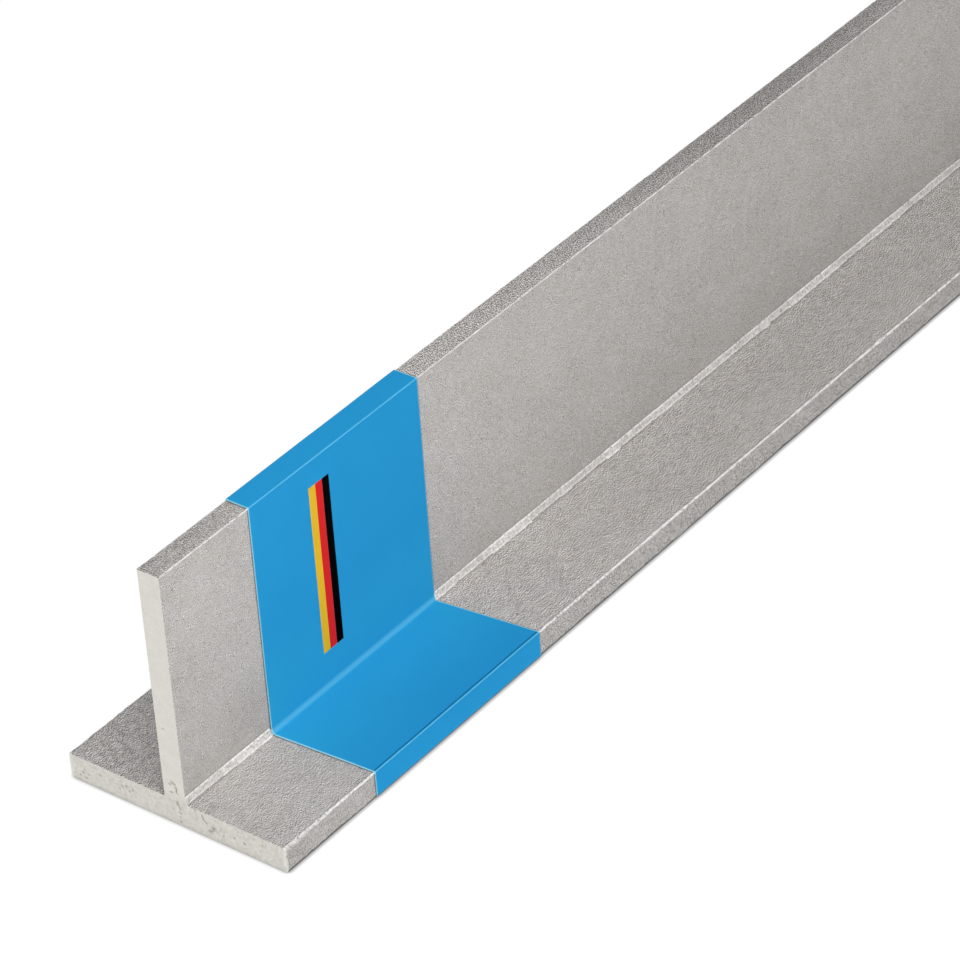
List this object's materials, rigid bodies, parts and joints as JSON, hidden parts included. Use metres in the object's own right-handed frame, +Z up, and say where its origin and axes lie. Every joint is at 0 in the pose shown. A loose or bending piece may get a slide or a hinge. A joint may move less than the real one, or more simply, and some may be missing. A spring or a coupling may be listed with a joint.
{
  "type": "stainless steel t-bar",
  "caption": "Laser-welded T-section bar in stainless steel, lying on its flange, cut square at both ends, with a printed film label wrapped over it near one end.",
  "frame": {"origin": "middle of the flange's underside, halfway along the bar, on the surface that it lies on", "axes": "+X along the bar, away from the end with the label; +Z up, from the flange along the web; the weld bead is on the -Y side"},
  "size_m": [1, 0.0504, 0.0552],
  "materials": {
    "plate_steel": "matte, pickled and shot-blasted, with a fine pebbled grain",
    "weld_steel": "bright, slightly uneven weld metal",
    "label_film": "matte printed film"
  },
  "bodies": {
    "root": {"flange_plate": "plate_steel", "web_plate": "plate_steel", "weld_seam": "weld_steel", "wrap_label": "label_film"}
  },
  "joints": []
}
